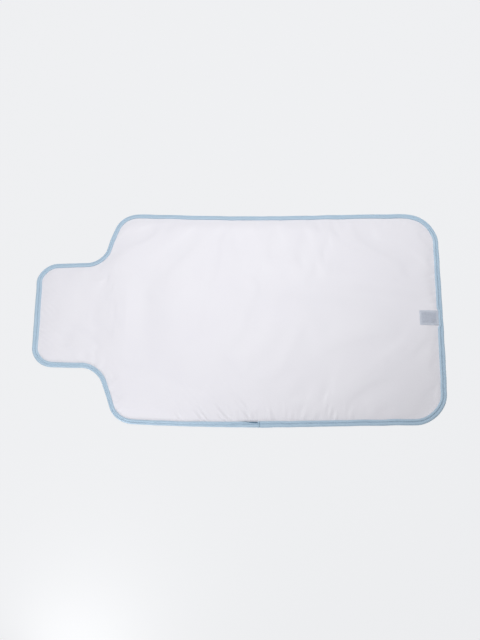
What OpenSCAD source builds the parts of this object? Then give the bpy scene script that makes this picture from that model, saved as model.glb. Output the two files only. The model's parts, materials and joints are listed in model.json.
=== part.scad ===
// Padded travel changing pad: a rectangular body with round corners and a narrow
// head flap, laid flat. It folds up at three lines across its width.
// X runs from the head flap to the foot edge, Y across the pad, Z up.
// The origin is on the underside, at the middle of the length and width.

/* [Pad] */
// Length from the tip of the head flap to the foot edge
pad_length = 650; // [600:1:700]
// Width across the body
pad_width = 355; // [330:1:380]
// Thickness of the padded field
pad_thickness = 6; // [6:0.5:8]

/* [Outline] */
// Width of the head flap
flap_width = 175; // [160:1:190]
// Distance from the flap's tip to the inner corner of the neck
neck_from_tip = 104; // [100:1:110]
// Distance from the flap's tip to the corner of the shoulder
shoulder_from_tip = 135; // [130:1:140]
// Radius of the two corners at the flap's tip
flap_corner_r = 34; // [20:1:45]
// Radius of the inner curve between the flap and the shoulder
neck_r = 37; // [30:1:42]
// Radius of the shoulders
shoulder_r = 38; // [30:1:45]
// Radius of the two corners at the foot edge
foot_corner_r = 53; // [40:1:70]
// Straight steps that make up each rounded corner
corner_steps = 12; // [8:1:20]

/* [Folds] */
// Distance from the flap's tip to the neck fold
neck_fold_from_tip = 100; // [90:1:110]
// Length of the upper panel, from the neck fold to the first body fold
upper_length = 181; // [170:1:190]
// Length of the middle panel, longer than the upper one so that the foot panel wraps round it
middle_length = 188; // [178:1:196]
// Open gap between neighbouring panels at a fold
fold_gap = 0.3; // [0.2:0.1:0.6]

/* [Covers] */
// Thickness of the top and back cover fabric
fabric_t = 0.6; // [0.4:0.1:0.8]

/* [Binding] */
// Thickness of the binding tape
tape_t = 0.6; // [0.4:0.1:0.8]
// Width of the binding that shows on each face
binding_w = 8.5; // [7:0.5:10]
// Height of the bound edge, where the padding is squeezed
edge_height = 4.6; // [4:0.1:5]
// Distance of the stitch line from the binding's inner edge
stitch_margin = 2.4; // [0.8:0.2:3]
// Width of a line of stitching
stitch_w = 0.6; // [0.4:0.1:0.8]
// Height of the stitching above the cloth
stitch_h = 0.3; // [0.2:0.1:0.4]
// Position along X of the folded tape end that covers the start of the binding
join_x = 30; // [0:1:60]
// Length over which the binding lies double at the join
join_overlap = 25; // [15:1:35]

/* [Closure] */
// Width of the hook and loop tape, across the pad
closure_w = 25; // [20:1:30]
// Length of the hook patch, inwards from the foot edge binding
hook_length = 29; // [20:0.5:35]
// Place of the hook patch across the pad, from the centre line
hook_offset = -3; // [-10:0.5:10]
// Length of the loop patch on the back of the upper panel
loop_length = 40; // [30:1:50]
// Distance of the loop patch from the first body fold
loop_from_fold = 11; // [8:1:20]
// Thickness of the woven base of the closure tape
closure_base_t = 0.6; // [0.4:0.1:0.8]
// Height of the hooks above the base
hook_h = 0.4; // [0.3:0.1:0.6]
// Thickness of the loop patch, base and pile together
loop_t = 0.8; // [0.8:0.1:1.2]
// Width of the flat selvedge round the hooks and the pile
selvedge_w = 2.5; // [2:0.5:4]

/* [Hidden] */

head = 0;
upper = 1;
middle = 2;
foot = 3;

tip_x = -pad_length / 2;
foot_x = pad_length / 2;
neck_fold_x = tip_x + neck_fold_from_tip;
upper_fold_x = neck_fold_x + upper_length;
foot_fold_x = upper_fold_x + middle_length;
// Where each panel starts and ends along X; the first and last run past the outline
panel_limits = [tip_x - 1, neck_fold_x, upper_fold_x, foot_fold_x, foot_x + 1];

// Levels of the layers, from the bottom up
back_under_binding = tape_t;
foam_bottom_at_edge = tape_t + fabric_t;
foam_top_at_edge = edge_height - tape_t - fabric_t;
top_under_binding = edge_height - tape_t;
foam_bottom = fabric_t;
foam_top = pad_thickness - fabric_t;
step_inset = binding_w + fabric_t;
stitch_inset = binding_w - stitch_margin - stitch_w;

hook_start_x = foot_x - binding_w - hook_length;
loop_start_x = upper_fold_x - loop_from_fold - loop_length;
patch_stitch_inset = 0.8;

top_colour = [0.93, 0.925, 0.95];
back_colour = [0.90, 0.90, 0.92];
foam_colour = [0.96, 0.95, 0.90];
binding_colour = [0.69, 0.77, 0.84];
thread_colour = [0.62, 0.70, 0.80];
patch_colour = [0.68, 0.705, 0.75];
patch_thread_colour = [0.78, 0.80, 0.84];

// ---- Outline of the pad --------------------------------------------------

// Corners of the outline, anticlockwise from above: [x, y, radius]
corners = [
    [tip_x, -flap_width / 2, flap_corner_r],
    [tip_x + neck_from_tip, -flap_width / 2, neck_r],
    [tip_x + shoulder_from_tip, -pad_width / 2, shoulder_r],
    [foot_x, -pad_width / 2, foot_corner_r],
    [foot_x, pad_width / 2, foot_corner_r],
    [tip_x + shoulder_from_tip, pad_width / 2, shoulder_r],
    [tip_x + neck_from_tip, flap_width / 2, neck_r],
    [tip_x, flap_width / 2, flap_corner_r]
];

function corner(i) = corners[(i + len(corners)) % len(corners)];
function corner_xy(i) = [corner(i)[0], corner(i)[1]];
function unit(v) = v / norm(v);
// Direction of the straight edge that leaves corner i
function edge_dir(i) = unit(corner_xy(i + 1) - corner_xy(i));
// A direction turned by an angle, anticlockwise
function turned(v, angle) = [
    v[0] * cos(angle) - v[1] * sin(angle),
    v[0] * sin(angle) + v[1] * cos(angle)
];
// Signed turn of the outline at corner i: positive where the pad is convex
function turn_at(i) = let (a = edge_dir(i - 1), b = edge_dir(i))
    atan2(a[0] * b[1] - a[1] * b[0], a[0] * b[0] + a[1] * b[1]);
// Centre of the arc at corner i, the same for every inset
function arc_centre(i) = let (
        from = turned(edge_dir(i - 1), 90),
        to = turned(edge_dir(i), 90)
    )
    corner_xy(i) + sign(turn_at(i)) * corner(i)[2] * (from + to) / (1 + from * to);
// Point at fraction t of the arc at corner i, on the outline moved inwards by inset
function arc_point(i, t, inset) = let (
        side = sign(turn_at(i)),
        inward = turned(edge_dir(i - 1), 90 + t * turn_at(i))
    )
    arc_centre(i) - side * (corner(i)[2] - side * inset) * inward;
// The closed outline of the pad, moved inwards by inset
function outline(inset) = [
    for (i = [0 : len(corners) - 1])
        for (k = [0 : corner_steps])
            arc_point(i, k / corner_steps, inset)
];

// ---- Building blocks -----------------------------------------------------

// Everything inside the outline at an inset, between two levels
module slab(inset, low, high) {
    translate([0, 0, low])
        linear_extrude(high - low)
            polygon(outline(inset));
}

// A band that follows the outline between two insets, between two levels
module band(outer, inner, low, high) {
    translate([0, 0, low])
        linear_extrude(high - low)
            difference() {
                polygon(outline(outer));
                polygon(outline(inner));
            }
}

// Keeps the part of its children that belongs to one panel, half a fold gap inside its folds
module in_panel(i) {
    start_x = panel_limits[i] + fold_gap / 2;
    end_x = panel_limits[i + 1] - fold_gap / 2;
    intersection() {
        children();
        translate([start_x, -pad_width, -1])
            cube([end_x - start_x, 2 * pad_width, pad_thickness + 4]);
    }
}

// A block that starts at start_x and is centred on the X axis
module patch_block(start_x, length, width, low, high) {
    translate([start_x, -width / 2, low])
        cube([length, width, high - low]);
}

// A closed line of stitching inside the edge of a patch
module patch_stitches(start_x, length, width, low, high) {
    outer = patch_stitch_inset;
    inner = patch_stitch_inset + stitch_w;
    difference() {
        patch_block(start_x + outer, length - 2 * outer, width - 2 * outer, low, high);
        patch_block(start_x + inner, length - 2 * inner, width - 2 * inner, low - 1, high + 1);
    }
}

// The stretch of the near edge where the binding lies double
module join_zone(low, high) {
    translate([join_x, -pad_width / 2 - 1, low])
        cube([join_overlap, binding_w + 2, high - low]);
}

// ---- Covers and padding --------------------------------------------------

// Top cover: the wipe-clean field, stepped down to its seam allowance under the binding
module top_cover(panel) {
    color(top_colour)
        in_panel(panel)
            union() {
                slab(binding_w, foam_top, pad_thickness);
                band(binding_w, step_inset, foam_top_at_edge, pad_thickness);
                band(tape_t, step_inset, foam_top_at_edge, top_under_binding);
            }
}

// Back cover: flat on the ground, stepped up over the binding's lower lip
module back_cover(panel) {
    color(back_colour)
        in_panel(panel)
            union() {
                slab(binding_w, 0, foam_bottom);
                band(binding_w, step_inset, 0, foam_bottom_at_edge);
                band(tape_t, step_inset, back_under_binding, foam_bottom_at_edge);
            }
}

// Shallow dish in the back cover that the loop patch sits in, flush with the underside
module loop_dish(grow, low, high) {
    patch_block(loop_start_x - grow, loop_length + 2 * grow, closure_w + 2 * grow, low, high);
}

// Back cover of the upper panel, pressed in round the loop patch
module back_cover_with_dish() {
    color(back_colour)
        difference() {
            union() {
                back_cover(upper);
                loop_dish(fabric_t, 0, loop_t + fabric_t);
            }
            loop_dish(0, -1, loop_t);
        }
}

// Foam core: full height in the field, squeezed flat inside the binding
module foam_core(panel) {
    color(foam_colour)
        in_panel(panel)
            union() {
                slab(step_inset, foam_bottom, foam_top);
                band(tape_t, step_inset, foam_bottom_at_edge, foam_top_at_edge);
            }
}

// Foam core of the upper panel, pressed in over the loop patch
module foam_core_with_dish() {
    color(foam_colour)
        difference() {
            foam_core(upper);
            loop_dish(fabric_t, -1, loop_t + fabric_t);
        }
}

// ---- Binding -------------------------------------------------------------

// Bias tape wrapped round the edge: upper lip, side wall and lower lip
module binding(panel) {
    color(binding_colour)
        in_panel(panel)
            union() {
                band(0, binding_w, top_under_binding, edge_height);
                band(0, tape_t, 0, edge_height);
                band(0, binding_w, 0, back_under_binding);
            }
}

// Binding of the middle panel, thinned on its side and underside where the end overlaps it
module binding_with_joggle() {
    color(binding_colour)
        difference() {
            binding(middle);
            intersection() {
                band(-1, tape_t / 2, -1, edge_height + 1);
                join_zone(-2, edge_height + 2);
            }
            join_zone(-1, tape_t / 2);
        }
}

// Folded end of the tape, which wraps over the start of the binding on the near edge
module binding_end() {
    color(binding_colour)
        intersection() {
            union() {
                band(0, binding_w, edge_height, edge_height + tape_t);
                band(0, tape_t / 2, 0, edge_height + tape_t);
                band(0, binding_w, 0, tape_t / 2);
            }
            join_zone(-1, edge_height + tape_t + 1);
        }
}

// Stitching along the binding's upper lip
module stitch_line(low, high) {
    band(stitch_inset, stitch_inset + stitch_w, low, high);
}

// Binding thread of one panel
module binding_thread(panel) {
    color(thread_colour)
        in_panel(panel)
            stitch_line(edge_height, edge_height + stitch_h);
}

// Binding thread of the middle panel, which climbs over the folded tape end
module binding_thread_over_join() {
    raised_top = edge_height + tape_t + stitch_h;
    color(thread_colour)
        union() {
            difference() {
                binding_thread(middle);
                join_zone(0, raised_top);
            }
            intersection() {
                stitch_line(edge_height + tape_t, raised_top);
                join_zone(0, raised_top + 1);
            }
            for (x = [join_x - stitch_w, join_x + join_overlap])
                intersection() {
                    stitch_line(edge_height, raised_top);
                    translate([x, -pad_width / 2 - 1, 0])
                        cube([stitch_w, binding_w + 2, raised_top + 1]);
                }
        }
}

// ---- Hook and loop closure -----------------------------------------------

// Hook patch on the top cover, against the binding of the foot edge
module hook_patch() {
    base_top = pad_thickness + closure_base_t;
    color(patch_colour)
        translate([0, hook_offset, 0])
            union() {
                patch_block(hook_start_x, hook_length, closure_w, pad_thickness, base_top);
                patch_block(hook_start_x + selvedge_w, hook_length - 2 * selvedge_w,
                    closure_w - 2 * selvedge_w, pad_thickness, base_top + hook_h);
            }
}

// Box of stitching on the selvedge of the hook patch
module hook_patch_thread() {
    base_top = pad_thickness + closure_base_t;
    color(patch_thread_colour)
        translate([0, hook_offset, 0])
            patch_stitches(hook_start_x, hook_length, closure_w, base_top, base_top + stitch_h);
}

// Loop patch on the back of the upper panel, with a groove for its stitching
module loop_patch() {
    color(patch_colour)
        difference() {
            loop_dish(0, 0, loop_t);
            patch_stitches(loop_start_x, loop_length, closure_w, -1, stitch_h);
        }
}

// Box of stitching on the loop patch, level with its face
module loop_patch_thread() {
    color(patch_thread_colour)
        patch_stitches(loop_start_x, loop_length, closure_w, 0, stitch_h);
}

// ---- Nodes ---------------------------------------------------------------

top_cover(head);  // top_cover_head
top_cover(upper);  // top_cover_upper
top_cover(middle);  // top_cover_middle
top_cover(foot);  // top_cover_foot
back_cover(head);  // back_cover_head
back_cover_with_dish();  // back_cover_upper
back_cover(middle);  // back_cover_middle
back_cover(foot);  // back_cover_foot
foam_core(head);  // foam_core_head
foam_core_with_dish();  // foam_core_upper
foam_core(middle);  // foam_core_middle
foam_core(foot);  // foam_core_foot
binding(head);  // binding_head
binding(upper);  // binding_upper
binding_with_joggle();  // binding_middle
binding(foot);  // binding_foot
binding_end();
binding_thread(head);  // binding_thread_head
binding_thread(upper);  // binding_thread_upper
binding_thread_over_join();  // binding_thread_middle
binding_thread(foot);  // binding_thread_foot
hook_patch();
hook_patch_thread();
loop_patch();
loop_patch_thread();
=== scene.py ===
"""A padded travel changing pad: smooth white wipe-clean top, light blue bound edge, grey hook patch."""

import json
import math

import bpy
import numpy as np
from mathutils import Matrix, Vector


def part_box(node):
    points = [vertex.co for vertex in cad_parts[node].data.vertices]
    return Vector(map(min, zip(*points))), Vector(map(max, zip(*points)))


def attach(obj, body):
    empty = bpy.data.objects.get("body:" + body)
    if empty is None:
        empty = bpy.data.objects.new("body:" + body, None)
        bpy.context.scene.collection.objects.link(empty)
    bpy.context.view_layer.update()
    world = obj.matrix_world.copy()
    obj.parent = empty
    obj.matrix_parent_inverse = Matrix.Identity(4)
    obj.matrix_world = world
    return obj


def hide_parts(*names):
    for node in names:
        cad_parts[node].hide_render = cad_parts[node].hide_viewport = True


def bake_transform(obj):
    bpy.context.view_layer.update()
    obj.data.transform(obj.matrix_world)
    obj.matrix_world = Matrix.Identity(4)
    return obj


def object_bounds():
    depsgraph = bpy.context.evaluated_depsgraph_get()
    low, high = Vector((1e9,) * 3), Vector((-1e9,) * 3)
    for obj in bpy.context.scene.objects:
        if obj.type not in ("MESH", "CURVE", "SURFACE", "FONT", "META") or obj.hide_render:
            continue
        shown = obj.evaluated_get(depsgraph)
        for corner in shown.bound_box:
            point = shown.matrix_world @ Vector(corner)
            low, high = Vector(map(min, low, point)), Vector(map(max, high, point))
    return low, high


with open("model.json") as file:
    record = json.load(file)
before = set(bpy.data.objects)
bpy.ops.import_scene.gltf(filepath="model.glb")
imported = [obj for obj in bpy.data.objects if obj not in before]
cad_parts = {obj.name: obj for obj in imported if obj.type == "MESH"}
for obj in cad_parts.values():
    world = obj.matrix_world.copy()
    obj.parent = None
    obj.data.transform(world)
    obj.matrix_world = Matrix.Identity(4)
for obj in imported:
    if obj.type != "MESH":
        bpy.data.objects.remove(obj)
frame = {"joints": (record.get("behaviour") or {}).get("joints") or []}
cad_low, cad_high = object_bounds()

MM = 0.001

# ---- Places and sizes from the frame ---------------------------------------

FOLD_X = {joint["name"]: joint["pos_m"][0] for joint in frame["joints"]}
TIP_X, FOOT_X = cad_low.x, cad_high.x
HALF_WIDTH = cad_high.y
HOOK_LOW, HOOK_HIGH = (Vector(corner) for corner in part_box("hook_patch"))
LOOP_LOW, LOOP_HIGH = (Vector(corner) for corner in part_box("loop_patch"))
JOIN_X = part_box("binding_end")[0][0]

# ---- The outline ------------------------------------------------------------

FLAP_HALF_WIDTH = 87.5 * MM
NECK_X = TIP_X + 104 * MM
SHOULDER_X = TIP_X + 135 * MM
FLAP_CORNER_R = 34 * MM
NECK_R = 37 * MM
SHOULDER_R = 38 * MM
FOOT_CORNER_R = 53 * MM
OUTLINE_STEP = 0.5 * MM

# How the cloth lies: it is drawn in a little, its centre line bows, and it widens towards the foot
DRAWN_IN_X = 1.1 * MM
DRAWN_IN_Y = 1.5 * MM
BOW = 2.25 * MM
BOW_CENTRE = 9 * MM
BOW_LENGTH = 540 * MM
WIDENING = 0.6 * MM

# Local pulls in the outline: where (x, y), how far they reach (x, y) and how far they shift the cloth (x, y)
PULLS = {
    "far_shoulder_in": ((-202, 140), (32, 46), (-3.2, 0.0)),
    "far_shoulder_down": ((-180, 178), (40, 50), (0.0, -0.4)),
    "far_neck": ((-238, 92), (35, 40), (0.0, 1.7)),
    "near_shoulder": ((-173, -173), (35, 40), (0.0, 0.9)),
    "near_neck": ((-235, -92), (35, 40), (0.0, -0.8)),
    "near_foot_corner": ((318, -155), (60, 60), (-1.4, 0.6)),
}

# ---- Heights and widths of the soft parts ------------------------------------

BINDING_W = 8.4 * MM
BINDING_LOW = 0.5 * MM
BINDING_HIGH = 4.9 * MM
TAPE_T = 0.5 * MM
LIP_R = 0.42 * MM
STITCH_MARGIN = 4.6 * MM
STITCH_PITCH = 3.2 * MM
STITCH_LENGTH = 2.5 * MM
THREAD_R = 0.24 * MM
GROOVE_DEPTH = 0.95 * MM
GROOVE_HALF_WIDTH = 1.0 * MM
# Share of painted shade put into the tape's colour along the stitched valley
VALLEY_SHADE = 0.10
LIP_CROWN = 0.70 * MM
SECTION_STEP = 0.8 * MM

# Finished width of the binding's upper lip, at distances along the outline from its folded end
LIP_WIDTHS = {
    0: 9.4, 150: 9.2, 325: 9.6, 400: 9.7, 500: 9.1, 580: 8.7, 700: 7.8, 1050: 7.4,
    1240: 7.2, 1315: 8.6, 1370: 9.5, 1430: 9.2, 1500: 8.0, 1620: 7.3, 1740: 7.4, 1800: 8.4,
}
PATCH_LIP_W = 7.2 * MM

COVER_T = 0.5 * MM
COVER_HIDDEN_INSET = 2.5 * MM
SPARE_CLOTH = 0.004
WRINKLE_CAP = 0.4 * MM
WRINKLE_SHARE = 0.85
WRINKLE_SPREAD = 16
COVER_EDGE_Z = 3.6 * MM
COVER_FIELD_Z = 5.5 * MM
COVER_CREST_Z = 5.8 * MM
COVER_CREST_SPARE = 0.35 * MM
COVER_RISE = 9 * MM
BACK_FIELD_Z = 0.15 * MM
BACK_EDGE_Z = 1.25 * MM
BACK_RISE = 3 * MM
LOOP_DISH = 0.65 * MM
LOOP_DISH_SLOPE = 1.5 * MM

# At the join the tape beneath is turned in lengthwise, which leaves a slit beside the cover
JOIN_OVERLAP = 18 * MM
JOIN_TAPER = 32 * MM
JOIN_SLIT = 3.0 * MM
JOIN_DROP = 2.5 * MM
JOIN_RAISE = 0.45 * MM
JOIN_SEAM = 2.8 * MM

PATCH_Y = (HOOK_LOW.y + HOOK_HIGH.y) / 2
PATCH_T = 0.7 * MM
LOOP_T = 0.45 * MM
PATCH_TUCK = 1.5 * MM
PATCH_BORDER = 3.4 * MM
PATCH_STITCH_MARGIN = 1.7 * MM
PATCH_CORNER_R = 1.2 * MM

# Broad swells of the filling: where (x, y), half length and half width, direction in degrees, and height
SWELLS = {
    "neck_ridge": ((-190, -10), (95, 15), 90, 0.80),
    "neck_hollow": ((-148, 12), (62, 20), 90, -1.2),
    "head_dip": ((-296, -50), (40, 24), 30, -0.80),
    "head_swell": ((-262, 10), (50, 30), 80, 0.35),
    "middle_swell": ((-40, 20), (90, 50), 5, 0.35),
    "near_left_swell": ((-150, -146), (64, 13), 6, 1.2),
    "near_left_hollow": ((-118, -104), (60, 15), -10, -0.75),
    "near_hollow": ((-10, -112), (60, 18), -50, -0.50),
    "foot_ridge": ((214, 62), (95, 13), -10, 0.9),
    "foot_valley": ((212, 30), (110, 17), -6, -1.7),
    "foot_swell": ((215, -22), (85, 15), -6, 0.50),
    "foot_band": ((240, -70), (85, 13), 36, 0.85),
    "foot_corner_dip": ((300, -150), (70, 40), 40, -1.7),
    "far_foot_swell": ((190, 112), (90, 20), -25, 0.55),
}

# Puckers where the binding gathers the cover: distance along the outline, reach along it and into the pad,
# pitch, height, and how far they lean along the outline as they run inwards
GATHERS = {
    "left_of_join": (1790, 78, 26, 10.5, 0.85, 0.8),
    "at_join": (5, 45, 20, 9.0, 0.72, 0.1),
    "right_of_join": (95, 60, 15, 12.0, 0.48, -0.3),
    "head_end": (1375, 60, 18, 10.5, 0.42, -0.9),
    "near_neck": (1585, 60, 16, 15.0, 0.36, 0.4),
    "foot_end": (480, 95, 13, 12.5, 0.32, 0.3),
    "far_foot": (640, 70, 14, 11.0, 0.34, -0.4),
    "far_edge": (880, 160, 10, 14.0, 0.24, 0.2),
    "far_shoulder": (1130, 60, 14, 12.0, 0.30, 0.5),
}

PUCKER_DRIFT = 3.5 * MM

# Half the length of the stretch that bends at each fold
BEND_REACH = {"neck_fold": 9 * MM, "upper_fold": 12 * MM, "foot_fold": 17 * MM}

# Spacing of the cloth's grid: wide, at the folds, and at the least where the outline turns
CLOTH_GAP = 2.3 * MM
FOLD_GAP = 1.5 * MM
LEAST_GAP = 0.8 * MM
FOLD_MARGIN = 12 * MM
COLUMN_STEP = 0.1 * MM
CLOTH_ROWS = 129
ROW_CROWDING = 0.35


def smoothstep(low, high, value):
    """0 below low, 1 above high, and a smooth ramp between."""
    t = np.clip((value - low) / (high - low), 0, 1)
    return t * t * (3 - 2 * t)


def wave_field(x, y, size, seed, count=14):
    """A smooth random field over the plane, about -1 to 1, with waves about size long."""
    rng = np.random.default_rng(seed)
    total = np.zeros(np.broadcast(x, y).shape)
    for _ in range(count):
        angle = rng.uniform(0, 2 * math.pi)
        k = 2 * math.pi / (size * rng.uniform(0.7, 1.5))
        phase = rng.uniform(0, 2 * math.pi)
        total += np.cos(k * (x * math.cos(angle) + y * math.sin(angle)) + phase)
    return total / math.sqrt(2 * count)


def wave_loop(s, length, size, seed, count=9):
    """A smooth random line, about -1 to 1, that closes on itself after length."""
    rng = np.random.default_rng(seed)
    total = np.zeros(np.shape(s))
    for _ in range(count):
        cycles = max(1, round(length / (size * rng.uniform(0.65, 1.5))))
        total += np.cos(2 * math.pi * cycles * s / length + rng.uniform(0, 2 * math.pi))
    return total / math.sqrt(2 * count)


# ---- Outline of the pad --------------------------------------------------------


def turned(v, angle):
    """A direction turned anticlockwise by an angle."""
    c, s = math.cos(angle), math.sin(angle)
    return np.array([v[0] * c - v[1] * s, v[0] * s + v[1] * c])


class Outline:
    """The pad's rounded outline, anticlockwise from the binding's join, as a function of the way round."""

    def __init__(self):
        corners = [
            (TIP_X, -FLAP_HALF_WIDTH, FLAP_CORNER_R),
            (NECK_X, -FLAP_HALF_WIDTH, NECK_R),
            (SHOULDER_X, -HALF_WIDTH, SHOULDER_R),
            (FOOT_X, -HALF_WIDTH, FOOT_CORNER_R),
            (FOOT_X, HALF_WIDTH, FOOT_CORNER_R),
            (SHOULDER_X, HALF_WIDTH, SHOULDER_R),
            (NECK_X, FLAP_HALF_WIDTH, NECK_R),
            (TIP_X, FLAP_HALF_WIDTH, FLAP_CORNER_R),
        ]
        points, normals = [np.array([JOIN_X, -HALF_WIDTH])], [np.array([0.0, -1.0])]
        order = [3, 4, 5, 6, 7, 0, 1, 2]
        for i in order:
            here, radius = np.array(corners[i][:2]), corners[i][2]
            before = np.array(corners[i - 1][:2])
            after = np.array(corners[(i + 1) % len(corners)][:2])
            arriving = (here - before) / np.linalg.norm(here - before)
            leaving = (after - here) / np.linalg.norm(after - here)
            turn = math.atan2(arriving[0] * leaving[1] - arriving[1] * leaving[0], arriving @ leaving)
            side = math.copysign(1, turn)
            left_in, left_out = turned(arriving, math.pi / 2), turned(leaving, math.pi / 2)
            centre = here + side * radius * (left_in + left_out) / (1 + left_in @ left_out)
            steps = max(8, int(abs(turn) * radius / OUTLINE_STEP))
            for k in range(steps + 1):
                inward = turned(left_in, turn * k / steps)
                points.append(centre - side * radius * inward)
                normals.append(-inward)
        points.append(points[0])
        normals.append(normals[0])
        self.points = np.array(points)
        self.normals = np.array(normals)
        gaps = np.linalg.norm(np.diff(self.points, axis=0), axis=1)
        self.way = np.concatenate([[0], np.cumsum(gaps)])
        self.length = self.way[-1]

    def at(self, s):
        """Points on the outline and outward normals at distances s along it."""
        s = np.mod(s, self.length)
        p = np.stack([np.interp(s, self.way, self.points[:, k]) for k in (0, 1)], -1)
        n = np.stack([np.interp(s, self.way, self.normals[:, k]) for k in (0, 1)], -1)
        return p, n / np.linalg.norm(n, axis=-1, keepdims=True)

    def inset_and_way(self, x, y):
        """How far inside the outline each point is, and how far along the outline its nearest point is."""
        s = np.arange(0, self.length, 2 * MM)
        p, n = self.at(s)
        inset, way = np.empty(x.size), np.empty(x.size)
        flat = np.stack([x.ravel(), y.ravel()], -1)
        for start in range(0, len(flat), 4000):
            block = flat[start:start + 4000]
            nearest = ((block[:, None] - p[None]) ** 2).sum(-1).argmin(1)
            away = p[nearest] - block
            inset[start:start + 4000] = (away * n[nearest]).sum(-1)
            tangent = np.stack([-n[nearest, 1], n[nearest, 0]], -1)
            way[start:start + 4000] = s[nearest] - (away * tangent).sum(-1)
        return inset.reshape(x.shape), np.mod(way, self.length).reshape(x.shape)

    def half_width(self, x, inset):
        """Half the pad's width at each x, on the outline moved inwards by inset."""
        p = self.points - inset * self.normals
        upper = p[:, 1] > 0
        order = np.argsort(p[upper, 0], kind="stable")
        return np.interp(x, p[upper, 0][order], p[upper, 1][order])


outline = Outline()


def lay(x, y):
    """Where a point of the cut cloth lies, with the slight bow and pull of the pad as laid down."""
    along, across = x / (FOOT_X - TIP_X) * 2, y / HALF_WIDTH
    shift_x = -DRAWN_IN_X * along
    shift_y = -DRAWN_IN_Y * across + WIDENING * along * across
    shift_y = shift_y - BOW * np.cos(2 * math.pi * (x - BOW_CENTRE) / BOW_LENGTH)
    for place, reach, shift in PULLS.values():
        weight = np.exp(
            -(((x - place[0] * MM) / (reach[0] * MM)) ** 2) - ((y - place[1] * MM) / (reach[1] * MM)) ** 2
        )
        shift_x = shift_x + shift[0] * MM * weight
        shift_y = shift_y + shift[1] * MM * weight
    return x + shift_x, y + shift_y


def laid(x, y, z):
    """Points of the cloth as laid, stacked on the last axis."""
    x, y = lay(x, y)
    return np.stack(np.broadcast_arrays(x, y, z), -1)


# ---- Meshes --------------------------------------------------------------------


def new_object(name, verts, faces, material, smooth=True):
    """A mesh object from points and faces, added to the scene."""
    mesh = bpy.data.meshes.new(name)
    mesh.from_pydata(verts.tolist(), [], faces if isinstance(faces, list) else faces.tolist())
    mesh.update()
    mesh.polygons.foreach_set("use_smooth", [smooth] * len(mesh.polygons))
    if material:
        mesh.materials.append(material)
    piece = bpy.data.objects.new(name, mesh)
    bpy.context.scene.collection.objects.link(piece)
    return piece


def grid_faces(rows, columns, offset=0, close_columns=False):
    """Quads of a grid of points numbered row by row."""
    i = np.arange(rows - 1)
    j = np.arange(columns if close_columns else columns - 1)
    i, j = (a.ravel() for a in np.meshgrid(i, j, indexing="ij"))
    i2, j2 = i + 1, (j + 1) % columns
    return offset + np.stack([i * columns + j, i2 * columns + j, i2 * columns + j2, i * columns + j2], -1)


def grid_normals(points):
    """Unit normals of a grid of points, from its neighbours' differences."""
    normals = np.cross(np.gradient(points, axis=0), np.gradient(points, axis=1))
    return normals / np.linalg.norm(normals, axis=-1, keepdims=True)


def keep_normals(piece, normals):
    """Sets each vertex's normal, so that two pieces of one cloth shade as one where they meet."""
    piece.data.normals_split_custom_set_from_vertices(normals.tolist())


def closed_sheet(name, upper, lower, upper_normals, lower_normals, material):
    """A closed sheet between two grids of points with the same layout."""
    rows, columns = upper.shape[:2]
    count = rows * columns
    verts = np.concatenate([upper.reshape(-1, 3), lower.reshape(-1, 3)])
    top = grid_faces(rows, columns)
    bottom = grid_faces(rows, columns, count)[:, ::-1]
    number = np.arange(count).reshape(rows, columns)
    ring = np.concatenate([number[:, 0], number[-1, 1:], number[-2::-1, -1], number[0, -2:0:-1]])
    after = np.roll(ring, -1)
    rim = np.stack([ring, ring + count, after + count, after], -1)
    piece = new_object(name, verts, np.concatenate([top, bottom, rim]), material)
    normals = np.concatenate([upper_normals.reshape(-1, 3), lower_normals.reshape(-1, 3)])
    keep_normals(piece, normals)
    return piece


# ---- The covers' shape ------------------------------------------------------------


def column_places():
    """Places of the grid's columns along X: close together at folds and where the outline turns."""
    x = np.arange(TIP_X + COVER_HIDDEN_INSET, FOOT_X - COVER_HIDDEN_INSET, COLUMN_STEP)
    slope = np.gradient(outline.half_width(x, COVER_HIDDEN_INSET), x)
    gap = np.clip(CLOTH_GAP / np.sqrt(1 + slope**2), LEAST_GAP, None)
    for name, fold_x in FOLD_X.items():
        near = smoothstep(BEND_REACH[name] + FOLD_MARGIN, BEND_REACH[name], np.abs(x - fold_x))
        gap = np.minimum(gap, CLOTH_GAP + (FOLD_GAP - CLOTH_GAP) * near)
    count = np.cumsum(1 / gap) * COLUMN_STEP
    return np.interp(np.linspace(count[0], count[-1], int(count[-1])), count, x)


def row_places():
    """Places of the grid's rows across the pad, from -1 to 1, closer together near the edges."""
    t = np.linspace(-1, 1, CLOTH_ROWS)
    return np.sin(t * math.pi / 2) * ROW_CROWDING + t * (1 - ROW_CROWDING)


class Cloth:
    """The grid of the cut cloth, and what each point of it knows about the outline."""

    def __init__(self):
        columns, rows = column_places(), row_places()
        half = outline.half_width(columns, COVER_HIDDEN_INSET)
        self.columns, self.rows = columns, rows
        self.x = np.repeat(columns[:, None], len(rows), 1)
        self.y = half[:, None] * rows[None]
        self.inset, self.way = outline.inset_and_way(self.x, self.y)

    def column_near(self, x):
        return int(np.abs(self.columns - x).argmin())

    def sample(self, field, x, y):
        """Reads a field of the grid at any points of the cut cloth."""
        half = outline.half_width(x, COVER_HIDDEN_INSET)
        i = np.interp(x, self.columns, np.arange(len(self.columns)))
        j = np.interp(y / half, self.rows, np.arange(len(self.rows)))
        i0 = np.clip(i.astype(int), 0, len(self.columns) - 2)
        j0 = np.clip(j.astype(int), 0, len(self.rows) - 2)
        u, v = i - i0, j - j0
        near = field[i0, j0] * (1 - v) + field[i0, j0 + 1] * v
        far = field[i0 + 1, j0] * (1 - v) + field[i0 + 1, j0 + 1] * v
        return near * (1 - u) + far * u


cloth = Cloth()


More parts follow.
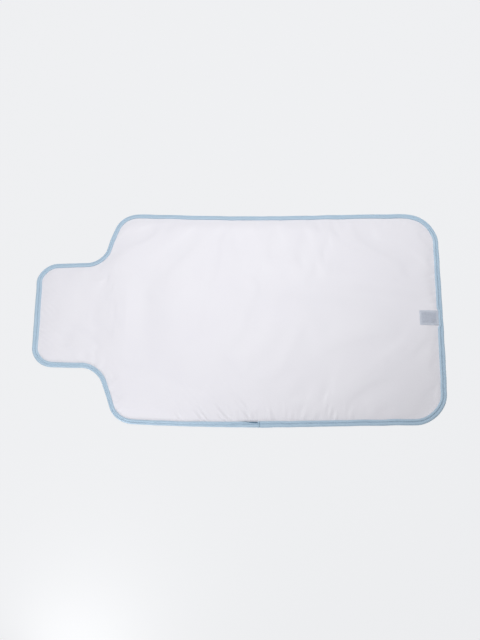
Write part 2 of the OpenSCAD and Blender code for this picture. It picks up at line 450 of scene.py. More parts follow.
def binding_width(s):
    """Width of the binding's upper lip along the outline."""
    places = np.array(sorted(LIP_WIDTHS)) * MM
    widths = np.array([LIP_WIDTHS[place] for place in sorted(LIP_WIDTHS)]) * MM
    width = np.interp(s % outline.length, places, widths, period=outline.length)
    width = width + 0.22 * MM * wave_loop(s, outline.length, 60 * MM, 3)
    patch_s = outline.inset_and_way(np.array([FOOT_X]), np.array([PATCH_Y]))[1][0]
    over_patch = smoothstep(17 * MM, 11.5 * MM, np.abs(s % outline.length - patch_s))
    return width + (PATCH_LIP_W - width) * over_patch


def join_taper(s):
    """How far the tape beneath the join is turned in: 0 away from the join, 1 at the folded end."""
    to_end = outline.length - np.asarray(s)
    return smoothstep(JOIN_TAPER, 2 * MM, to_end) * (to_end > -JOIN_OVERLAP - 1 * MM)


def gathered(inset_past, way):
    """Height of the puckers that the binding draws into the cover."""
    total = np.zeros(way.shape)
    for number, (place, reach, depth, pitch, height, lean) in enumerate(GATHERS.values()):
        along = np.mod(way - place * MM + outline.length / 2, outline.length) - outline.length / 2
        drift = PUCKER_DRIFT * wave_loop(way, outline.length, 55 * MM, 60 + number)
        waves = np.cos(2 * math.pi * (along + lean * inset_past + drift) / (pitch * MM))
        uneven = 0.55 + 0.75 * wave_loop(way + 0.5 * inset_past, outline.length, 30 * MM, 80 + number)
        weight = np.exp(-((along / (reach * MM)) ** 4)) * np.exp(-((inset_past / (depth * MM)) ** 1.5))
        total += height * MM * waves * np.clip(uneven, 0.0, 1.5) * weight
    return total * smoothstep(0, 2.5 * MM, inset_past)


def swollen(x, y):
    """Height of the broad swells of the filling."""
    total = np.zeros(np.shape(x))
    for (place, half, degrees, height) in SWELLS.values():
        c, s = math.cos(math.radians(degrees)), math.sin(math.radians(degrees))
        dx, dy = x - place[0] * MM, y - place[1] * MM
        along, across = dx * c + dy * s, -dx * s + dy * c
        total += height * MM * np.exp(-((along / (half[0] * MM)) ** 2) - (across / (half[1] * MM)) ** 2)
    return total


def settled(start, held, frames=22):
    """How far a slightly too large sheet rises and falls as it settles between its held edges."""
    rows, columns = start.shape[:2]
    sheet = new_object("settling", start.reshape(-1, 3), grid_faces(rows, columns), None)
    group = sheet.vertex_groups.new(name="held")
    for index in np.flatnonzero(held.ravel()):
        group.add([int(index)], 1.0, "REPLACE")
    cloth_modifier = sheet.modifiers.new("cloth", "CLOTH")
    settings = cloth_modifier.settings
    settings.quality = 6
    settings.mass = 0.12
    settings.tension_stiffness = 25
    settings.compression_stiffness = 25
    settings.shear_stiffness = 10
    settings.bending_stiffness = 0.6
    settings.vertex_group_mass = "held"
    settings.shrink_min = -SPARE_CLOTH
    settings.effector_weights.gravity = 0
    cloth_modifier.point_cache.frame_start = 1
    cloth_modifier.point_cache.frame_end = frames
    scene = bpy.context.scene
    for frame_number in range(1, frames + 1):
        scene.frame_set(frame_number)
    shaped = sheet.evaluated_get(bpy.context.evaluated_depsgraph_get()).to_mesh()
    places = np.empty(rows * columns * 3)
    shaped.vertices.foreach_get("co", places)
    bpy.data.objects.remove(sheet)
    scene.frame_set(1)
    return places.reshape(start.shape)[..., 2] - start[..., 2]


def wrinkles(top):
    """Wrinkles of the top cover, settled on every second point of the grid and capped."""
    start = np.stack([cloth.x, cloth.y, top], -1)[::2, ::2]
    rise = settled(start, cloth.inset[::2, ::2] < BINDING_W + 0.5 * MM)
    fine = softened(rise, 1) - softened(rise, WRINKLE_SPREAD)
    rows, columns = (np.arange(size) / 2 for size in cloth.x.shape)
    along = np.stack([np.interp(rows, np.arange(fine.shape[0]), line) for line in fine.T], -1)
    full = np.stack([np.interp(columns, np.arange(fine.shape[1]), line) for line in along])
    full = softened(full, 2) * smoothstep(BINDING_W - MM, BINDING_W + 6 * MM, cloth.inset)
    return WRINKLE_SHARE * WRINKLE_CAP * np.tanh(full / WRINKLE_CAP)


def softened(field, passes):
    """A field of the grid averaged with its neighbours, several times over."""
    for _ in range(passes):
        padded = np.pad(field, 1, mode="edge")
        field = (padded[:-2, 1:-1] + padded[2:, 1:-1] + padded[1:-1, :-2] + padded[1:-1, 2:] + 2 * field) / 6
    return field


def top_height(x, y, inset, way):
    """Height of the top cover: low under the binding, puffed up inside it, softly uneven."""
    past_lip = np.clip(inset - (binding_width(way) - 1.8 * MM), 0, None)
    rise = 1 - np.exp(-((past_lip / COVER_RISE) ** 1.15))
    broad = 0.14 * MM * wave_field(x, y, 120 * MM, 21, 24) + 0.05 * MM * wave_field(x, y, 55 * MM, 22, 24)
    lip = binding_width(way)
    slit = JOIN_DROP * join_taper(way) * smoothstep(lip + 1.4 * MM, lip - 0.6 * MM, inset)
    height = (
        COVER_EDGE_Z
        + (COVER_FIELD_Z - COVER_EDGE_Z) * rise
        + gathered(past_lip, way)
        + (broad + swollen(x, y)) * rise
    )
    return crested(height) - slit


def crested(height):
    """A height held below the crest that still lets the folded layers lie on one another."""
    over = np.clip(height - COVER_CREST_Z, 0, None)
    return np.minimum(height, COVER_CREST_Z) + COVER_CREST_SPARE * np.tanh(over / COVER_CREST_SPARE)


def back_height(x, y, inset):
    """Height of the back cover's outer face: on the ground, stepped up over the binding's lower lip."""
    step = smoothstep(BINDING_W + BACK_RISE, BINDING_W - 0.5 * MM, inset)
    rough = 0.10 * MM * (1 + wave_field(x, y, 40 * MM, 31))
    inside_x = np.minimum(x - LOOP_LOW.x, LOOP_HIGH.x - x)
    inside_y = np.minimum(y - LOOP_LOW.y, LOOP_HIGH.y - y)
    dish = smoothstep(-LOOP_DISH_SLOPE, 0, np.minimum(inside_x, inside_y))
    field = BACK_FIELD_Z + rough * (1 - dish) + LOOP_DISH * dish
    return field + (BACK_EDGE_Z - field) * step


# ---- Binding ------------------------------------------------------------------------


def binding_section(width, groove, puff, raise_by, slit):
    """The binding's section as (inset, height) points: lip fold, top, roll, underside, lip fold, inside.

    width, groove, puff, raise_by and slit are arrays over the sections; the result has one row per section.
    """
    low = BINDING_LOW - raise_by
    high = BINDING_HIGH + raise_by
    out = -raise_by
    radius = (high - low) / 2
    lip_top = COVER_EDGE_Z + 1.1 * MM + raise_by
    seam = width - STITCH_MARGIN

    def turned_in(inset):
        """How far the lip is lowered where it is turned in beside the slit."""
        start = width - slit
        past = smoothstep(start - 0.4 * MM, start + 0.5 * MM, inset)
        return JOIN_DROP * smoothstep(0.05 * MM, JOIN_SLIT, slit) * past

    points = []
    for angle in np.radians([-90, -45, 0, 45]):
        inset = width - LIP_R + LIP_R * np.cos(angle)
        points.append((inset, lip_top - LIP_R + LIP_R * np.sin(angle) - turned_in(inset)))
    for t in np.linspace(0, 1, 19):
        inset = (width - LIP_R) * (1 - t) + (radius + out) * t
        dome = smoothstep(0.0, 1.0, np.clip((seam - inset) / (seam - radius), 0, 1))
        lip_crown = LIP_CROWN * np.sin(math.pi * np.clip((inset - seam) / (width - seam), 0, 1))
        dip = groove * np.exp(-(((inset - seam) / GROOVE_HALF_WIDTH) ** 2))
        height = lip_top + (high - lip_top) * dome + puff * math.sin(math.pi * t) ** 2 + lip_crown - dip
        points.append((inset, height - turned_in(inset)))
    for angle in np.radians(np.linspace(90, 270, 13))[1:-1]:
        points.append((radius + out + radius * np.cos(angle), low + radius + radius * np.sin(angle)))
    for t in np.linspace(0, 1, 9):
        inset = (radius + out) * (1 - t) + (width - LIP_R) * t
        dip = 0.6 * groove * np.exp(-(((inset - seam) / GROOVE_HALF_WIDTH) ** 2))
        points.append((inset, low + dip))
    for angle in np.radians([-45, 0, 45, 90]):
        points.append((width - LIP_R + LIP_R * np.cos(angle), low + LIP_R + LIP_R * np.sin(angle)))
    inner = radius - TAPE_T
    points.append((radius + out, low + TAPE_T + 0.1 * MM))
    for angle in np.radians(np.linspace(270, 90, 5)):
        points.append((radius + out + inner * np.cos(angle), low + radius + inner * np.sin(angle)))
    insets = np.stack([np.broadcast_to(p[0], width.shape) for p in points], -1)
    heights = np.stack([np.broadcast_to(p[1], width.shape) for p in points], -1)
    return insets, heights


def binding_shape(s):
    """Width, groove depth, puff, raise and slit of the binding at distances s from its folded end."""
    stitch = 0.5 + 0.5 * np.cos(2 * math.pi * s / STITCH_PITCH)
    over = smoothstep(JOIN_OVERLAP + 8 * MM, JOIN_OVERLAP - 2 * MM, s) * (s < outline.length / 2)
    seam = np.exp(-(((s - JOIN_SEAM) / (0.8 * MM)) ** 2))
    groove = GROOVE_DEPTH * (0.9 + 0.3 * stitch)
    puff = 0.2 * MM * (1 + 0.6 * wave_loop(s, outline.length, 25 * MM, 5))
    raise_by = JOIN_RAISE * over - 0.6 * MM * seam
    under = s > outline.length
    raise_by = np.where(under, -0.35 * MM, raise_by)
    return binding_width(s), groove, puff, raise_by, JOIN_SLIT * join_taper(s)


def section_at(s):
    """The binding's sections at distances s, laid out in space: (sections, points, 3)."""
    insets, heights = binding_section(*binding_shape(s))
    wobble = 0.25 * MM * wave_loop(s, outline.length, 45 * MM, 7)
    ripple = 0.10 * MM * wave_loop(s, outline.length, 5 * MM, 8)[:, None] * np.sin(
        np.linspace(0, math.pi, insets.shape[1])
    )
    p, n = outline.at(s)
    across = insets + wobble[:, None] + ripple
    x = p[:, None, 0] - across * n[:, None, 0]
    y = p[:, None, 1] - across * n[:, None, 1]
    return laid(x, y, heights)


# ---- Splitting at the folds ------------------------------------------------------------

# Each stretch of cloth between two of these planes holds one fold
SPLIT_X = [
    TIP_X - 10 * MM,
    (FOLD_X["neck_fold"] + FOLD_X["upper_fold"]) / 2,
    (FOLD_X["upper_fold"] + FOLD_X["foot_fold"]) / 2,
    FOOT_X + 10 * MM,
]
STRETCHES = [
    ("neck_fold", "head", "upper", SPLIT_X[0], SPLIT_X[1]),
    ("upper_fold", "upper", "middle", SPLIT_X[1], SPLIT_X[2]),
    ("foot_fold", "middle", "foot", SPLIT_X[2], SPLIT_X[3]),
]


def bend(piece):
    """Bakes a piece's transform into its mesh points."""
    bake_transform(piece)


# ---- Materials ------------------------------------------------------------------------------


class Shader:
    """A node material built in code."""

    def __init__(self, name):
        self.material = bpy.data.materials.new(name)
        self.material.use_nodes = True
        self.tree = self.material.node_tree
        self.surface = self.tree.nodes["Principled BSDF"]

    def node(self, kind, **settings):
        made = self.tree.nodes.new(kind)
        for name, value in settings.items():
            setattr(made, name, value)
        return made

    def link(self, source, target):
        self.tree.links.new(source, target)

    def set(self, **values):
        for name, value in values.items():
            self.surface.inputs[name.replace("_", " ")].default_value = value

    def coordinates(self, attribute=None, rotation=(0, 0, 0)):
        """Object coordinates, or those of a mesh attribute, turned."""
        if attribute:
            source = self.node("ShaderNodeAttribute", attribute_name=attribute).outputs["Vector"]
        else:
            source = self.node("ShaderNodeTexCoord").outputs["Object"]
        mapping = self.node("ShaderNodeMapping")
        mapping.inputs["Rotation"].default_value = rotation
        self.link(source, mapping.inputs["Vector"])
        return mapping.outputs["Vector"]

    def noise(self, vector, scale, detail=2.0):
        made = self.node("ShaderNodeTexNoise")
        made.inputs["Scale"].default_value = scale
        made.inputs["Detail"].default_value = detail
        self.link(vector, made.inputs["Vector"])
        return made.outputs["Fac"]

    def wave(self, vector, direction, pitch):
        """Parallel threads across a direction, one every pitch."""
        made = self.node("ShaderNodeTexWave", wave_type="BANDS", bands_direction=direction)
        made.inputs["Scale"].default_value = math.pi / (10 * pitch)
        self.link(vector, made.inputs["Vector"])
        return made.outputs["Fac"]

    def math(self, operation, first, second):
        made = self.node("ShaderNodeMath", operation=operation)
        for socket, value in zip(made.inputs, (first, second)):
            if isinstance(value, (int, float)):
                socket.default_value = value
            else:
                self.link(value, socket)
        return made.outputs["Value"]

    def weave(self, vector, pitch):
        """A plain weave: warp and weft threads that take turns on top."""
        warp = self.wave(vector, "X", pitch)
        weft = self.wave(vector, "Y", pitch)
        checker = self.node("ShaderNodeTexChecker")
        checker.inputs["Scale"].default_value = 1 / pitch
        self.link(vector, checker.inputs["Vector"])
        mix = self.node("ShaderNodeMix", data_type="FLOAT")
        self.link(checker.outputs["Fac"], mix.inputs["Factor"])
        self.link(warp, mix.inputs["A"])
        self.link(weft, mix.inputs["B"])
        return mix.outputs["Result"]

    def colours(self, factor, first, second):
        """Blends two colours by a factor."""
        mix = self.node("ShaderNodeMix", data_type="RGBA")
        mix.inputs["A"].default_value = (*first, 1)
        mix.inputs["B"].default_value = (*second, 1)
        self.link(factor, mix.inputs["Factor"])
        self.link(mix.outputs["Result"], self.surface.inputs["Base Color"])
        return mix.outputs["Result"]

    def paint_shade(self, colour, attribute, dark):
        """Blends a colour into a dark one by a mesh attribute, to paint shade into it."""
        mix = self.node("ShaderNodeMix", data_type="RGBA")
        self.link(colour, mix.inputs["A"])
        mix.inputs["B"].default_value = (*dark, 1)
        amount = self.node("ShaderNodeAttribute", attribute_name=attribute).outputs["Fac"]
        self.link(amount, mix.inputs["Factor"])
        self.link(mix.outputs["Result"], self.surface.inputs["Base Color"])

    def bump(self, height, distance, strength, below=None):
        made = self.node("ShaderNodeBump")
        made.inputs["Distance"].default_value = distance
        made.inputs["Strength"].default_value = strength
        self.link(height, made.inputs["Height"])
        if below is not None:
            self.link(below, made.inputs["Normal"])
        self.link(made.outputs["Normal"], self.surface.inputs["Normal"])
        return made.outputs["Normal"]


def top_fabric():
    """White wipe-clean laminate over a fine weave."""
    m = Shader("top_fabric")
    place = m.coordinates()
    m.set(Roughness=0.46, IOR=1.46, Specular_IOR_Level=0.35)
    m.set(Sheen_Weight=0.05, Sheen_Roughness=0.5)
    m.colours(m.noise(place, 9.0, 3.0), (0.800, 0.790, 0.850), (0.845, 0.838, 0.885))
    film = m.bump(m.noise(place, 220.0, 3.0), 0.2 * MM, 0.10)
    m.bump(m.weave(place, 0.45 * MM), 0.05 * MM, 0.12, film)
    return m.material


def back_fabric():
    """Uncoated white plain weave."""
    m = Shader("back_fabric")
    place = m.coordinates()
    m.set(Roughness=0.85, IOR=1.45)
    m.set(Sheen_Weight=0.25, Sheen_Roughness=0.6)
    threads = m.weave(place, 0.6 * MM)
    m.colours(threads, (0.72, 0.72, 0.75), (0.83, 0.83, 0.855))
    m.bump(threads, 0.15 * MM, 0.6)
    return m.material


def binding_tape():
    """Light blue bias tape: a satin-finished weave that runs at 45 degrees to the edge, with shade painted
    into its colour in the join's slit, at the end's seam and in the stitched valley.
    """
    m = Shader("binding_tape")
    place = m.coordinates("tape_place", rotation=(0, 0, math.radians(45)))
    m.set(Roughness=0.55, IOR=1.46)
    m.set(Sheen_Weight=0.35, Sheen_Roughness=0.4)
    threads = m.weave(place, 0.32 * MM)
    cloud = m.noise(place, 40.0, 3.0)
    mottle = m.math("ADD", m.math("MULTIPLY", threads, 0.55), m.math("MULTIPLY", cloud, 0.45))
    tape = m.colours(mottle, (0.350, 0.500, 0.640), (0.560, 0.705, 0.835))
    # Painted shade: the colour is blended towards this dark blue where the mesh attribute marks shade, in the
    # slit, at the end's seam and in the stitched valley
    m.paint_shade(tape, "painted_tape_shade", (0.095, 0.185, 0.275))
    m.bump(threads, 0.10 * MM, 0.5)
    return m.material


def sewing_thread(name, dark, light):
    """Twisted polyester thread."""
    m = Shader(name)
    place = m.coordinates("tape_place", rotation=(0, 0, math.radians(60)))
    m.set(Roughness=0.45, IOR=1.5)
    m.set(Sheen_Weight=0.2, Sheen_Roughness=0.3)
    twist = m.wave(place, "X", 0.28 * MM)
    m.colours(twist, dark, light)
    m.bump(twist, 0.06 * MM, 0.6)
    return m.material


def closure_weave():
    """Grey woven ground of the hook and loop tape."""
    m = Shader("closure_weave")
    place = m.coordinates()
    m.set(Roughness=0.7, IOR=1.48)
    m.set(Sheen_Weight=0.3, Sheen_Roughness=0.5)
    threads = m.weave(place, 0.5 * MM)
    m.colours(threads, (0.615, 0.660, 0.765), (0.740, 0.790, 0.885))
    m.bump(threads, 0.18 * MM, 0.8)
    return m.material


def closure_nylon():
    """Grey nylon of the hooks and loops."""
    m = Shader("closure_nylon")
    place = m.coordinates()
    m.set(Roughness=0.38, IOR=1.53)
    m.colours(m.noise(place, 300.0), (0.50, 0.53, 0.61), (0.66, 0.69, 0.77))
    return m.material


def foam_material():
    """Fine open foam."""
    m = Shader("foam")
    place = m.coordinates()
    m.set(Roughness=0.95)
    cells = m.noise(place, 900.0, 2.0)
    m.colours(cells, (0.74, 0.72, 0.63), (0.86, 0.84, 0.77))
    m.bump(cells, 0.4 * MM, 0.8)
    return m.material


# ---- Pieces -----------------------------------------------------------------------------------


def stand_in(piece, material_slot, *nodes):
    """Hides the CAD nodes that a piece stands for. The piece and its material slot are not used."""
    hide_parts(*nodes)


def make_covers(materials):
    """Top cover, back cover and foam, each cut into one piece for each of the three folds."""
    top = top_height(cloth.x, cloth.y, cloth.inset, cloth.way)
    top = crested(top + wrinkles(top))
    back = back_height(cloth.x, cloth.y, cloth.inset)
    layers = [
        ("top_cover", "top_fabric", top, top - COVER_T, materials["top_fabric"]),
        ("foam_core", "foam", top - COVER_T - 0.1 * MM, back + COVER_T + 0.1 * MM, materials["foam"]),
        ("back_cover", "back_fabric", back + COVER_T, back, materials["back_fabric"]),
    ]
    for layer, material_slot, high, low, material in layers:
        upper, lower = laid(cloth.x, cloth.y, high), laid(cloth.x, cloth.y, low)
        upper_normals, lower_normals = grid_normals(upper), -grid_normals(lower)
        for fold, first, second, start_x, end_x in STRETCHES:
            a, b = cloth.column_near(start_x), cloth.column_near(end_x)
            part = slice(a, b + 1)
            faces_and_normals = (grid[part] for grid in (upper, lower, upper_normals, lower_normals))
            piece = closed_sheet(f"{layer}_{fold}", *faces_and_normals, material)
            bend(piece)
            stand_in(piece, material_slot, f"{layer}_{first}", f"{layer}_{second}")
    return top, back


def runs_between(s, start_x, end_x):
    """The separate runs of the outline that lie between two planes, as index ranges of s."""
    x = outline.at(s)[0][:, 0]
    inside = (x >= start_x) & (x <= end_x)
    edges = np.flatnonzero(np.diff(inside.astype(int)))
    starts = [0] if inside[0] else []
    bounds = starts + [int(e) + 1 for e in edges] + ([len(s)] if inside[-1] else [])
    return list(zip(bounds[::2], bounds[1::2]))


def painted_tape_shade(s):
    """Painted shade on the tape, 0 to 1: darkness painted into its colour in the slit, at the end's seam and
    in the stitched valley, where shade falls.
    """
    width, groove, _, raise_by, slit = binding_shape(s)
    insets = binding_section(width, groove, 0 * s, raise_by, slit)[0]
    past = insets - (width - slit)[:, None] + 0.2 * MM
    slit_shade = smoothstep(0, 0.6 * MM, past) * smoothstep(0.03, 0.15, join_taper(s))[:, None]
    seam_shade = 0.55 * np.exp(-(((s - JOIN_SEAM) / (0.8 * MM)) ** 2))[:, None]
    from_valley = (insets - (width - STITCH_MARGIN)[:, None]) / GROOVE_HALF_WIDTH
    return np.clip(slit_shade + seam_shade + VALLEY_SHADE * np.exp(-(from_valley**2)), 0, 1)


def make_binding(materials):
    """The rolled tape, from its folded end all the way round to under that end."""
    s = np.arange(0, outline.length + JOIN_OVERLAP, SECTION_STEP)
    sections = section_at(s)
    count = sections.shape[1]
    along = np.gradient(sections, axis=0)
    around = np.roll(sections, -1, axis=1) - np.roll(sections, 1, axis=1)
    normals = np.cross(around, along)
    normals /= np.linalg.norm(normals, axis=-1, keepdims=True)
    place = np.stack(np.broadcast_arrays(
        s[:, None], np.linspace(0, 26 * MM, count)[None], 0.0), -1)
    # Painted shade for the tape's colour: darker in the slit, at the end's seam and in the stitched valley
    depth = painted_tape_shade(s)
    for fold, first, second, start_x, end_x in STRETCHES:
        verts, faces, shades, places, painted_shades, offset = [], [], [], [], [], 0
        for a, b in runs_between(s, start_x, end_x):
            b = min(b + 1, len(s))
            rows = b - a
            verts.append(sections[a:b].reshape(-1, 3))
            shades.append(normals[a:b].reshape(-1, 3))
            places.append(place[a:b].reshape(-1, 3))
            painted_shades.append(depth[a:b].ravel())
            faces.append(grid_faces(rows, count, offset, close_columns=True)[:, ::-1])
            offset += rows * count
        faces = np.concatenate(faces).tolist()
        if start_x <= JOIN_X < end_x:
            faces.append(list(range(count)))
            faces.append(list(range(offset - 1, offset - 1 - count, -1)))
        piece = new_object(f"binding_{fold}", np.concatenate(verts), faces, materials["binding_tape"])
        write_places(piece, np.concatenate(places))
        # Stores the painted shade that darkens the tape's colour
        attribute = piece.data.attributes.new("painted_tape_shade", "FLOAT", "POINT")
        attribute.data.foreach_set("value", np.concatenate(painted_shades).astype(np.float32))
        keep_normals(piece, np.concatenate(shades))
        bend(piece)
        nodes = [f"binding_{first}", f"binding_{second}"]
        if first == "upper":
            nodes.append("binding_end")
        stand_in(piece, "binding_tape", *nodes)


def write_places(piece, places):
    """Stores each point's place on its tape or thread, which the weave follows."""
    attribute = piece.data.attributes.new("tape_place", "FLOAT_VECTOR", "POINT")
    attribute.data.foreach_set("vector", places.astype(np.float32).ravel())


def threads(paths, radius, sides=6):
    """Tubes along many paths of the same number of points: (paths, points, 3), closed at their ends."""
    count, rings = paths.shape[:2]
    along = np.gradient(paths, axis=1)
    along /= np.linalg.norm(along, axis=-1, keepdims=True)
    up = np.broadcast_to([0.0, 0.0, 1.0], along.shape)
    side = np.cross(along, up)
    side /= np.maximum(np.linalg.norm(side, axis=-1, keepdims=True), 1e-9)
    up = np.cross(side, along)
    angle = np.linspace(0, 2 * math.pi, sides, endpoint=False)
    taper = np.full(rings, radius)
    taper[[0, -1]] *= 0.55
    across, above = np.cos(angle)[None, None, :, None], np.sin(angle)[None, None, :, None]
    spokes = side[:, :, None] * across + up[:, :, None] * above
    tube = paths[:, :, None] + taper[None, :, None, None] * spokes
    one = grid_faces(rings, sides, close_columns=True)
    each = (np.arange(count) * rings * sides)[:, None, None]
    walls = (one[None] + each).reshape(-1, 4)
    start = np.arange(sides)[::-1]
    end = np.arange(sides) + (rings - 1) * sides
    caps = np.stack([start, end])
    caps = (caps[None] + each).reshape(-1, sides)
    along_place = np.cumsum(np.linalg.norm(np.diff(paths, axis=1, prepend=paths[:, :1]), axis=-1), 1)
    places = np.stack(np.broadcast_arrays(
        along_place[:, :, None], (angle * radius)[None, None], 0.0), -1)
    return tube.reshape(-1, 3), walls, caps, places.reshape(-1, 3)


def thread_object(name, paths, radius, material, sides=6):
    """One piece made of many short threads."""
    verts, walls, caps, places = threads(paths, radius, sides)
    mesh = bpy.data.meshes.new(name)
    mesh.from_pydata(verts.tolist(), [], walls.tolist() + caps.tolist())
    mesh.update()
    mesh.polygons.foreach_set("use_smooth", [True] * len(mesh.polygons))
    mesh.materials.append(material)
    piece = bpy.data.objects.new(name, mesh)
    bpy.context.scene.collection.objects.link(piece)
    write_places(piece, places)
    return piece


def make_binding_stitches(materials):
    """Lockstitches along both lips of the binding."""
    middles = np.arange(STITCH_PITCH / 2, outline.length - 2 * MM, STITCH_PITCH)
    steps = np.linspace(-0.5, 0.5, 6)
    s = middles[:, None] + STITCH_LENGTH * steps[None]
    width, groove, puff, raise_by, slit = (a.reshape(s.shape) for a in binding_shape(s.ravel()))
    p, n = outline.at(s)
    inset = width - STITCH_MARGIN + 0.25 * MM * wave_loop(s, outline.length, 45 * MM, 7)
    insets, heights = binding_section(*(a.ravel() for a in (width, groove, puff, raise_by, slit)))
    run = slice(4, 23)
    seam_top = np.array([
        np.interp(-w, -i[run], h[run]) for w, i, h in zip((width - STITCH_MARGIN).ravel(), insets, heights)
    ]).reshape(s.shape)
    dive = 0.55 * MM * (2 * np.abs(steps)) ** 4
    x = p[..., 0] - inset * n[..., 0]
    y = p[..., 1] - inset * n[..., 1]
    upper = laid(x, y, seam_top + 0.24 * MM - dive)
    low = BINDING_LOW - raise_by + 0.6 * groove
    lower = laid(x, y, np.maximum(low - 0.10 * MM, 1.1 * THREAD_R) + dive)
    for fold, first, second, start_x, end_x in STRETCHES:
        x_middle = outline.at(middles)[0][:, 0]
        inside = (x_middle >= start_x) & (x_middle < end_x)
        paths = np.concatenate([upper[inside], lower[inside]])
        piece = thread_object(f"binding_thread_{fold}", paths, THREAD_R, materials["binding_thread"])
        bend(piece)
        stand_in(piece, "binding_thread", f"binding_thread_{first}", f"binding_thread_{second}")


def patch_sheet(name, low, high, surface, thickness, side, material):
    """A rounded patch of tape that lies on a surface: side is 1 on the top face and -1 on the back."""
    rows, columns = 32, 28
    u = np.linspace(-1, 1, rows)
    v = np.linspace(-1, 1, columns)
    half_x, half_y = (high.x - low.x) / 2, (high.y - low.y) / 2
    x = (low.x + high.x) / 2 + half_x * np.repeat(u[:, None], columns, 1)
    into_corner = ((np.abs(u) * half_x - (half_x - PATCH_CORNER_R)) / PATCH_CORNER_R).clip(0, 1)
    pull = 1 - PATCH_CORNER_R / half_y * (1 - np.sqrt(np.clip(1 - into_corner**2, 0, 1)))
    y = (low.y + high.y) / 2 + half_y * v[None] * pull[:, None]
    base = cloth.sample(surface, x, y)
    edge = np.minimum(1 - np.abs(u[:, None]), 1 - np.abs(v[None])) * min(half_x, half_y)
    rounding = thickness * 0.35 * (1 - smoothstep(0, 0.6 * MM, edge))
    outer = base + side * (thickness - rounding)
    inner = base - side * 0.2 * MM
    weave_dent = 0.05 * MM * wave_field(x, y, 3 * MM, 41)
    high_z, low_z = (outer + weave_dent, inner) if side > 0 else (inner, outer - weave_dent)
    upper, lower = laid(x, y, high_z), laid(x, y, low_z)
    return closed_sheet(name, upper, lower, grid_normals(upper), -grid_normals(lower), material)


def pile(name, low, high, surface, side, height, reach, pitch, seed, material, straight):
    """Rows of small nylon arches on a patch: hooks in line, or loops that lean all ways."""
    rng = np.random.default_rng(seed)
    xs = np.arange(low.x, high.x, pitch)
    ys = np.arange(low.y, high.y, pitch)
    x, y = (a.ravel() for a in np.meshgrid(xs, ys, indexing="ij"))
    x = x + rng.uniform(-0.15, 0.15, x.size) * pitch
    y = y + rng.uniform(-0.15, 0.15, y.size) * pitch
    angle = rng.normal(0, 0.25, x.size) if straight else rng.uniform(0, 2 * math.pi, x.size)
    size = rng.uniform(0.8, 1.1, x.size)
    t = np.linspace(0, 1, 7)
    sweep = math.radians(215) if straight else math.pi
    out = -np.cos(t * sweep) * reach / 2
    up = np.sin(t * sweep) * height
    px = x[:, None] + size[:, None] * out[None] * np.cos(angle)[:, None]
    py = y[:, None] + size[:, None] * out[None] * np.sin(angle)[:, None]
    base = cloth.sample(surface, px, py) + side * (PATCH_T - 0.1 * MM)
    pz = base + side * size[:, None] * np.clip(up, -0.1 * MM, None)[None]
    return thread_object(name, laid(px, py, pz), 0.11 * MM, material, sides=5)


def box_stitches(name, low, high, surface, thickness, side, material):
    """A box of stitches inside the edge of a patch."""
    pitch, length = 2.6 * MM, 2.0 * MM
    x0, x1 = low.x + PATCH_STITCH_MARGIN, high.x - PATCH_STITCH_MARGIN
    y0, y1 = low.y + PATCH_STITCH_MARGIN, high.y - PATCH_STITCH_MARGIN
    corners = np.array([(x0, y0), (x1, y0), (x1, y1), (x0, y1), (x0, y0)])
    paths = []
    for start, end in zip(corners[:-1], corners[1:]):
        distance = np.linalg.norm(end - start)
        count = max(1, round(distance / pitch))
        for k in range(count):
            middle = (k + 0.5) / count
            t = middle + np.linspace(-0.5, 0.5, 5) * length / distance
            paths.append(start[None] + t[:, None] * (end - start)[None])
    paths = np.array(paths)
    dive = 0.35 * MM * (2 * np.abs(np.linspace(-0.5, 0.5, 5))) ** 4
    z = cloth.sample(surface, paths[..., 0], paths[..., 1]) + side * (thickness + 0.06 * MM - dive[None])
    return thread_object(name, laid(paths[..., 0], paths[..., 1], z), 0.2 * MM, material)


def make_patches(top, back, materials):
    """The hook patch on the foot panel's top and the loop patch on the upper panel's back."""
    shift = Vector((PATCH_TUCK, 0, 0))
    low, high = HOOK_LOW, HOOK_HIGH + shift
    hook = patch_sheet("hook_patch_tape", low, high, top, PATCH_T, 1, materials["closure_weave"])
    border = Vector((PATCH_BORDER, PATCH_BORDER, 0))
    hooks = pile("hook_patch_hooks", low + border, high - border, top, 1, 0.9 * MM, 0.9 * MM,
                 1.25 * MM, 51, materials["closure_nylon"], straight=True)
    sewn = box_stitches("hook_patch_stitches", low, high, top, PATCH_T, 1, materials["patch_thread"])
    for piece in (hook, hooks):
        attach(piece, "foot")
        stand_in(piece, "closure_tape", "hook_patch")
    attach(sewn, "foot")
    stand_in(sewn, "patch_thread", "hook_patch_thread")
    low, high = LOOP_LOW, LOOP_HIGH
    loop = patch_sheet("loop_patch_tape", low, high, back, LOOP_T, -1, materials["closure_weave"])
    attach(loop, "upper")
    stand_in(loop, "closure_tape", "loop_patch")
    sewn = box_stitches("loop_patch_stitches", low, high, back, LOOP_T, -1, materials["patch_thread"])
    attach(sewn, "upper")
    stand_in(sewn, "patch_thread", "loop_patch_thread")


# ---- Scene ------------------------------------------------------------------------------------

CAMERA_ELEVATION = math.radians(71.6)
CAMERA_AZIMUTH = math.radians(-0.14)
CAMERA_ROLL = math.radians(0.38)
CAMERA_DISTANCE = 1.5866
CAMERA_TARGET = Vector((2.1 * MM, -4.35 * MM, 0))
CAMERA_LENS = 56.25


def make_camera():
    data = bpy.data.cameras.new("camera")
    data.lens = CAMERA_LENS
    data.sensor_width = 36
    data.clip_end = 50
    camera = bpy.data.objects.new("camera", data)
    bpy.context.scene.collection.objects.link(camera)
    back = Vector((
        math.sin(CAMERA_AZIMUTH) * math.cos(CAMERA_ELEVATION),
        -math.cos(CAMERA_AZIMUTH) * math.cos(CAMERA_ELEVATION),
        math.sin(CAMERA_ELEVATION),
    ))
    camera.location = CAMERA_TARGET + CAMERA_DISTANCE * back
    aim = back.to_track_quat("Z", "Y").to_matrix().to_4x4()
    camera.rotation_euler = aim.to_euler()
    camera.rotation_euler.rotate_axis("Z", CAMERA_ROLL)
    bpy.context.scene.camera = camera


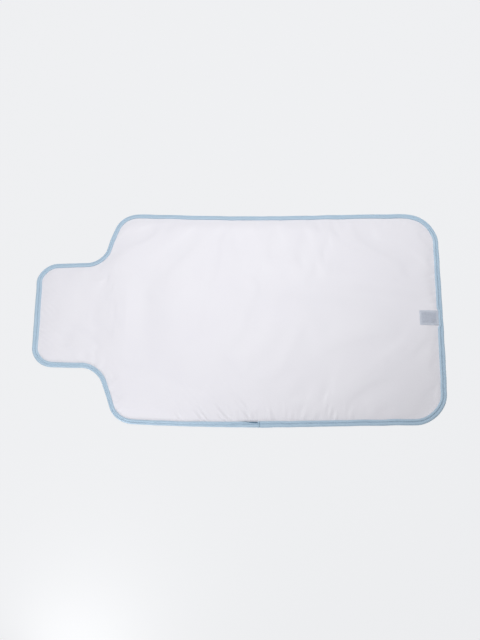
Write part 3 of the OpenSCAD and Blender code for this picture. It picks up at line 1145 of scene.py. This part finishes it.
def add_light(kind, name, place, target, power, colour, **settings):
    """A light at a place, turned towards a target."""
    data = bpy.data.lights.new(name, kind)
    data.energy = power
    data.color = colour
    for setting, value in settings.items():
        setattr(data, setting, value)
    light = bpy.data.objects.new(name, data)
    light.location = place
    light.rotation_euler = (Vector(place) - Vector(target)).to_track_quat("Z", "Y").to_euler()
    bpy.context.scene.collection.objects.link(light)


def make_floor():
    """A plain pale floor, lit evenly by itself so that it stays one shade."""
    half = 6.0
    verts = np.array([(-half, -half, 0), (half, -half, 0), (half, half, 0), (-half, half, 0)])
    verts[:, 2] = -0.05 * MM
    m = Shader("floor")
    m.set(Base_Color=(0.04, 0.04, 0.04, 1), Roughness=0.9, Emission_Color=(0.863, 0.871, 0.888, 1))
    m.set(Emission_Strength=0.955, Specular_IOR_Level=0.0)
    floor = new_object("floor", verts, np.array([[0, 1, 2, 3]]), m.material, smooth=False)


def make_lights():
    world = bpy.data.worlds.new("world")
    world.use_nodes = True
    world.node_tree.nodes["Background"].inputs["Color"].default_value = (0.985, 0.985, 1.0, 1)
    world.node_tree.nodes["Background"].inputs["Strength"].default_value = 0.3
    bpy.context.scene.world = world
    add_light("SPOT", "key", (0.0, 0.45, 1.3), (-0.384, 0.9, 0.0), 48.5, (1.0, 1.0, 0.995),
              spot_size=math.radians(138.8), spot_blend=0.57, shadow_soft_size=0.2)
    add_light("AREA", "low", (-0.6, -0.35, 0.2), (0.0, 0.0, 0.0), 0.25, (1.0, 1.0, 1.0), size=0.3)
    add_light("AREA", "near_left", (-0.23, -0.51, 0.11), (-0.10, -0.15, 0.0), 0.8, (1.0, 1.0, 1.0), size=0.15)
    bpy.context.scene.view_settings.view_transform = "Standard"


def main():
    materials = {
        "top_fabric": top_fabric(),
        "back_fabric": back_fabric(),
        "binding_tape": binding_tape(),
        "binding_thread": sewing_thread("binding_thread", (0.36, 0.49, 0.64), (0.52, 0.66, 0.80)),
        "patch_thread": sewing_thread("patch_thread", (0.62, 0.64, 0.70), (0.76, 0.78, 0.83)),
        "closure_weave": closure_weave(),
        "closure_nylon": closure_nylon(),
        "foam": foam_material(),
    }
    top, back = make_covers(materials)
    make_binding(materials)
    make_binding_stitches(materials)
    make_patches(top, back, materials)
    make_floor()
    make_lights()
    make_camera()


main()
